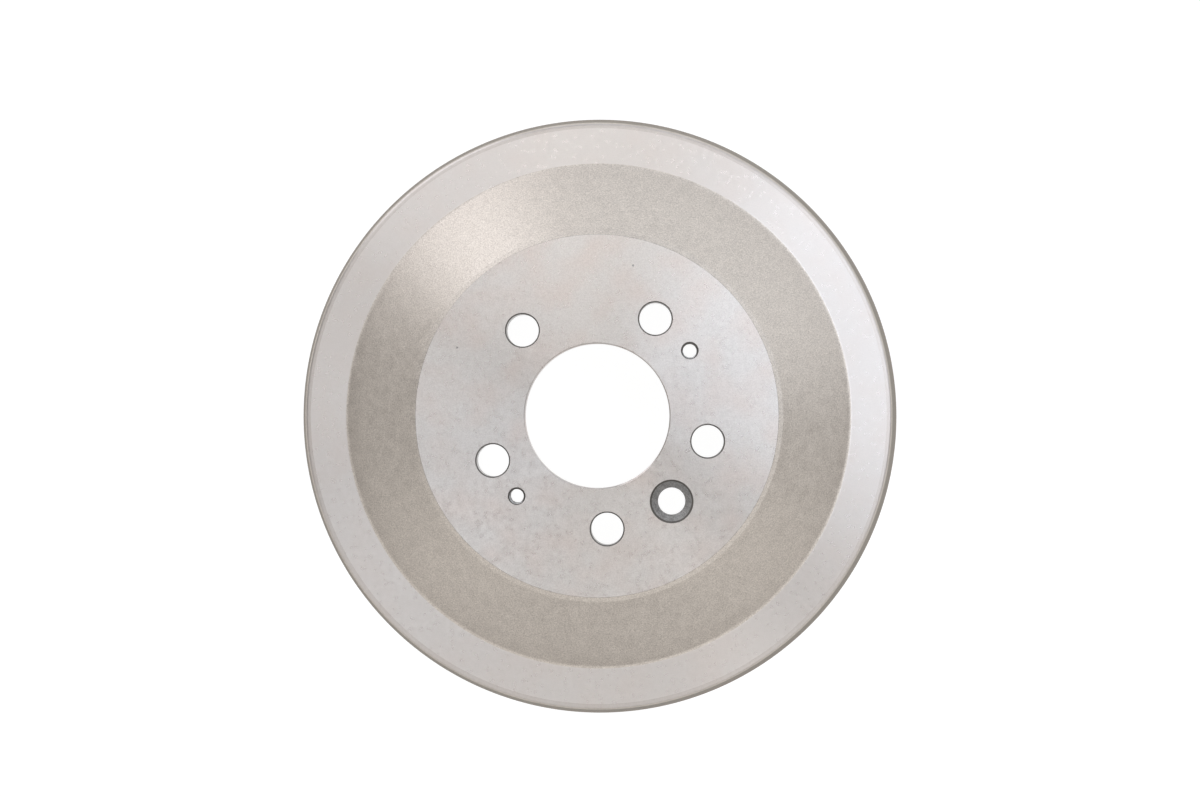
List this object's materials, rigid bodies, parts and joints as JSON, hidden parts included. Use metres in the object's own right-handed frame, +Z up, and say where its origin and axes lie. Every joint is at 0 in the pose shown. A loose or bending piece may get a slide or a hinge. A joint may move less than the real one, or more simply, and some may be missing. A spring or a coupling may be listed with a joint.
{
  "type": "brake drum",
  "caption": "One-piece cast-iron brake drum with a raised hub disc, central bore, wheel bolt holes, jacking holes and a countersunk locating hole.",
  "frame": {"origin": "centre of the open rim's end face, which the drum stands on", "axes": "+Z up the drum's axis, from the open rim to the wheel face"},
  "size_m": [0.3069, 0.307, 0.09],
  "materials": {
    "coated_iron": "silver-grey anti-rust coat over turned and as-cast iron"
  },
  "bodies": {
    "root": {"brake_drum": "coated_iron"}
  },
  "joints": []
}
